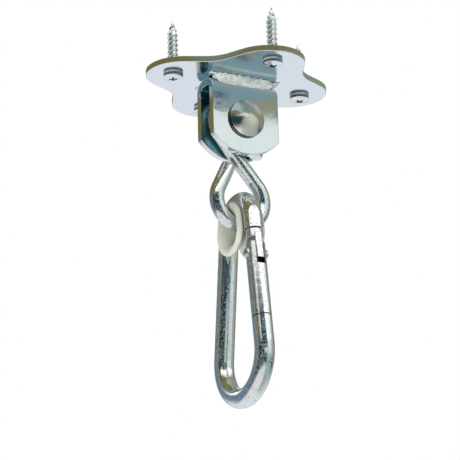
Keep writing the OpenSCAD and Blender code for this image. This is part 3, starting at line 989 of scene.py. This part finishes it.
ZINC_SHEET = zinc("zinc sheet", cool=(0.80, 0.84, 0.89), warm=(0.82, 0.83, 0.82), rough=(0.08, 0.16),
                  patch_scale=120.0, pits=0.35, pimples=0.12, waves=0.9)
ZINC_ROD = zinc("zinc rod", cool=(0.79, 0.84, 0.87), warm=(0.82, 0.82, 0.78), rough=(0.05, 0.11),
                patch_scale=200.0, pits=0.8, pimples=1.5, waves=0.8)
ZINC_SCREW = zinc("zinc screw", cool=(0.82, 0.85, 0.88), warm=(0.80, 0.80, 0.76), rough=(0.06, 0.12),
                  patch_scale=300.0, pits=0.3, pimples=0.1, waves=0.1)
RIVET_STEEL = peened_steel("rivet steel", (0.89, 0.85, 0.78), rough=0.14, relief=0.5, dents=9.0)
PIN_STEEL = steel("pin steel", (0.88, 0.88, 0.88), rough=0.3, relief=0.2)
SPRING_STEEL = steel("spring steel", (0.48, 0.49, 0.5), rough=0.25, relief=0.1)
OILED_STEEL = steel("oiled steel", (0.10, 0.10, 0.11), rough=0.3, relief=0.15)
# painted shade: darker zinc colours for slots, recesses, gaps and shaded sides
DARK_SHADE_ZINC = steel("dark painted shade", (0.085, 0.078, 0.07), rough=0.38, relief=0.2)
BROWN_SHADE_ZINC = steel("brown painted shade", (0.34, 0.31, 0.26), rough=0.35, relief=0.3)
TEAL_SHADE_ZINC = steel("teal painted shade", (0.25, 0.5, 0.55), rough=0.22, relief=0.2)
SHADED_ZINC = steel("shaded zinc", (0.34, 0.44, 0.46), rough=0.2, relief=0.2)
NYLON = nylon("natural nylon")
WELD = weld("weld metal")


def finish_piece(piece, mat, body, slot, *nodes):
    if not piece.data.materials:
        coat(mat, piece)
    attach(piece, body)
    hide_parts(*nodes)


def refinish(node, mat):
    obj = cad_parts[node]
    obj.data.materials.clear()
    coat(mat, obj)


# The studio.

def compass_ramp(tree, around, stops):
    """A ring of tones; a stop is (degrees, colour), where 0 looks to -Y and 90 to +X."""
    node = tree.nodes.new("ShaderNodeValToRGB")
    elements = node.color_ramp.elements
    elements.remove(elements[-1])
    placed = [((degrees + 180) / 360, (*colour, 1)) for degrees, colour in stops]
    elements[0].position, elements[0].color = placed[0]
    for position, colour in placed[1:]:
        elements.new(position).color = colour
    tree.links.new(around, node.inputs["Fac"])
    return node.outputs["Color"]


def screen_tones(tree):
    """The screens round the part: rings of tones, blended from one height to the next."""
    axes = axes_of(tree, tree.nodes.new("ShaderNodeTexCoord").outputs["Generated"])
    compass = calculate(tree, "ARCTAN2", axes["X"], times(tree, axes["Y"], -1.0))
    around = span(tree, compass, -math.pi, math.pi)
    olive, dark, blue = (0.26, 0.22, 0.11), (0.025, 0.04, 0.055), (0.15, 0.21, 0.27)
    pale, grey, white = (0.83, 0.90, 0.87), (0.34, 0.40, 0.40), (1.5, 1.53, 1.52)
    lilac, teal, ink = (0.80, 0.85, 0.92), (0.22, 0.38, 0.41), (0.045, 0.065, 0.08)
    shade, mist, zenith = (0.12, 0.19, 0.26), (0.84, 0.85, 0.86), (0.62, 0.68, 0.68)
    dim, stone, sand = (0.38, 0.46, 0.43), (0.33, 0.42, 0.41), (0.58, 0.58, 0.55)
    soot, lead = (0.05, 0.07, 0.08), (0.1, 0.12, 0.13)

    middle = ((-180, blue), (-124, blue), (-118, olive), (-100, olive), (-93, dark), (-36, dark), (-18, pale),
              (50, pale), (62, grey), (88, grey), (95, olive), (122, olive), (128, blue), (180, blue))
    sides = ((-124, blue), (-117, olive), (-104, olive), (-99, dark), (-86, dark), (-80, white), (66, white),
             (84, grey), (96, olive), (122, olive), (128, blue))
    high = ((-180, white), (-158, white), (-132, blue), *sides, (134, blue), (158, white), (180, white))
    upper = ((-180, blue), *sides, (180, blue))
    left = ((-180, lilac), (-172, lilac), (-146, shade), (-134, shade), (-94, ink), (-6, ink))
    right = ((116, lilac), (180, lilac))
    low = (*left, (8, dim), (50, dim), (62, soot), (88, lead), *right)
    under = (*left, (12, teal), (92, teal), *right)
    nadir = ((-180, mist), (-12, mist), (14, stone), (58, stone), (76, sand), (96, sand), (120, mist),
             (180, mist))

    sky = compass_ramp(tree, around, low)
    for start, full, ring in ((-0.12, 0.12, middle), (0.37, 0.5, high), (0.55, 0.62, upper)):
        sky = blend(tree, span(tree, axes["Z"], start, full), sky, compass_ramp(tree, around, ring))
    sky = blend(tree, span(tree, axes["Z"], 0.66, 0.86), sky, zenith)
    for start, full, ring in ((-0.19, -0.27, under), (-0.34, -0.52, nadir)):
        sky = blend(tree, span(tree, axes["Z"], start, full), sky, compass_ramp(tree, around, ring))
    return sky


def make_world():
    """Soft studio surroundings: white to the camera, rings of light and dark screens in reflections."""
    world = bpy.data.worlds.new("studio")
    world.use_nodes = True
    bpy.context.scene.world = world
    tree = world.node_tree
    screens = tree.nodes.new("ShaderNodeBackground")
    tree.links.new(screen_tones(tree), screens.inputs["Color"])
    seen = tree.nodes["Background"]
    seen.inputs["Color"].default_value = (1, 1, 1, 1)
    mix = tree.nodes.new("ShaderNodeMixShader")
    tree.links.new(tree.nodes.new("ShaderNodeLightPath").outputs["Is Camera Ray"], mix.inputs[0])
    tree.links.new(screens.outputs[0], mix.inputs[1])
    tree.links.new(seen.outputs[0], mix.inputs[2])
    tree.links.new(mix.outputs[0], tree.nodes["World Output"].inputs["Surface"])


def make_floor():
    begin()
    bpy.ops.mesh.primitive_plane_add(size=20, location=(0, 0, -1.5))
    floor = named("floor")
    mat, _, shader = material("pale floor")
    shader.inputs["Base Color"].default_value = (0.86, 0.86, 0.86, 1)
    shader.inputs["Roughness"].default_value = 0.9
    coat(mat, floor)
    floor.visible_glossy = False


def make_card(name, size, at, faded, tone_of):
    """A card that shows only in reflections, from the side it faces, and fades out at its top."""
    begin()
    bpy.ops.mesh.primitive_plane_add(size=1)
    card = named(name)
    place(card, at @ Matrix.Diagonal((*size, 1, 1)))
    mat, tree, principled = material(name)
    tree.nodes.remove(principled)
    glow = tree.nodes.new("ShaderNodeEmission")
    put(tree, glow.inputs["Color"], tone_of(tree))
    mix = tree.nodes.new("ShaderNodeMixShader")
    fade = span(tree, axes_of(tree, object_coords(tree))["Z"], *faded)
    backfacing = tree.nodes.new("ShaderNodeNewGeometry").outputs["Backfacing"]
    tree.links.new(calculate(tree, "MAXIMUM", backfacing, fade), mix.inputs[0])
    tree.links.new(glow.outputs[0], mix.inputs[1])
    tree.links.new(tree.nodes.new("ShaderNodeBsdfTransparent").outputs[0], mix.inputs[2])
    tree.links.new(mix.outputs[0], tree.nodes["Material Output"].inputs["Surface"])
    coat(mat, card)
    card.visible_camera = card.visible_diffuse = card.visible_shadow = card.visible_transmission = False


def olive_tone(tree):
    """Olive on the left, grey-green on the right, and teal over the bracket."""
    across = axes_of(tree, object_coords(tree))["X"]
    olive = blend(tree, span(tree, across, -0.005, 0.02), (0.185, 0.16, 0.06), (0.28, 0.31, 0.22))
    return blend(tree, near(tree, (0, 0, 0), 0.022, 0.038), (0.2, 0.29, 0.28), olive)


def make_cards():
    """A long olive card at the plate's height, and a dark flag in front for the lower half of the gate."""
    make_card("olive_card", size=(0.3, 0.16),
              at=Matrix.Translation((0, 0.033, -0.1 * MM)) @ Matrix.Rotation(math.pi, 4, "X"),
              faded=(0.1, 0.2), tone_of=olive_tone)
    aim = Matrix.Rotation(math.radians(-24), 4, "Z")
    make_card("dark_flag", size=(0.33, 0.17),
              at=aim @ Matrix.Translation((0, -0.3, 0.011)) @ Matrix.Rotation(-QUARTER, 4, "X"),
              faded=(0.06, 0.096), tone_of=lambda tree: (0.012, 0.042, 0.052))


def make_light(name, spot, aim, size, watts, colour):
    data = bpy.data.lights.new(name, "AREA")
    data.shape, data.size, data.energy, data.color = "DISK", size, watts, colour
    light = bpy.data.objects.new(name, data)
    bpy.context.scene.collection.objects.link(light)
    light.location = spot
    light.visible_glossy = False
    light.rotation_euler = (Vector(aim) - Vector(spot)).to_track_quat("-Z", "Y").to_euler()


def make_camera():
    """The photograph's camera: low, in front and to the left, looking up."""
    right, up = Vector((0.8772, -0.4796, -0.0229)), Vector((-0.1274, -0.2785, 0.9519))
    spot = (-0.43856, -0.77938, -0.35153)
    sensor, focal_px, photo_px = 36.0, 2338.6, 460
    data = bpy.data.cameras.new("camera")
    data.sensor_width, data.lens = sensor, sensor * focal_px / photo_px
    data.clip_start, data.clip_end = 0.01, 50
    camera = bpy.data.objects.new("camera", data)
    bpy.context.scene.collection.objects.link(camera)
    turn = Matrix((right, up, right.cross(up))).transposed()
    camera.matrix_world = Matrix.Translation(spot) @ turn.to_4x4()
    bpy.context.scene.camera = camera


bpy.context.scene.view_settings.view_transform = "Standard"
make_camera()
make_world()
make_floor()
make_cards()
make_light("key", spot=(-0.62, -0.28, -0.56), aim=(0, 0, -0.07), size=0.4, watts=4.6, colour=(1, 0.99, 0.97))

finish_piece(make_plate(), ZINC_SHEET, "bracket", "zinc_sheet", "base_plate")
finish_piece(make_bracket(), ZINC_SHEET, "bracket", "zinc_sheet", "u_bracket")
finish_piece(weld_bead("front_bead", -1), WELD, "bracket", "weld_bead", "front_weld")
finish_piece(weld_bead("rear_bead", 1), WELD, "bracket", "weld_bead", "rear_weld")
finish_piece(make_rivet(), RIVET_STEEL, "bracket", "polished_steel", "pivot_rivet")
finish_piece(make_link(), ZINC_ROD, "link", "zinc_rod", "swing_link")
finish_piece(make_hook(), ZINC_ROD, "hook", "zinc_rod", "hook_frame")
finish_piece(make_thimble(), NYLON, "hook", "nylon", "thimble")
finish_piece(make_gate(), ZINC_ROD, "gate", "zinc_rod", "gate")
finish_piece(make_screws(), ZINC_SCREW, "bracket", "zinc_screw", "mounting_screws")
refinish("pivot_bush", NYLON)
refinish("gate_pin", PIN_STEEL)
refinish("gate_plunger", OILED_STEEL)
spring = make_spring()
finish_piece(spring, SPRING_STEEL, "gate", "spring_steel", "gate_spring")
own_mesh(spring)
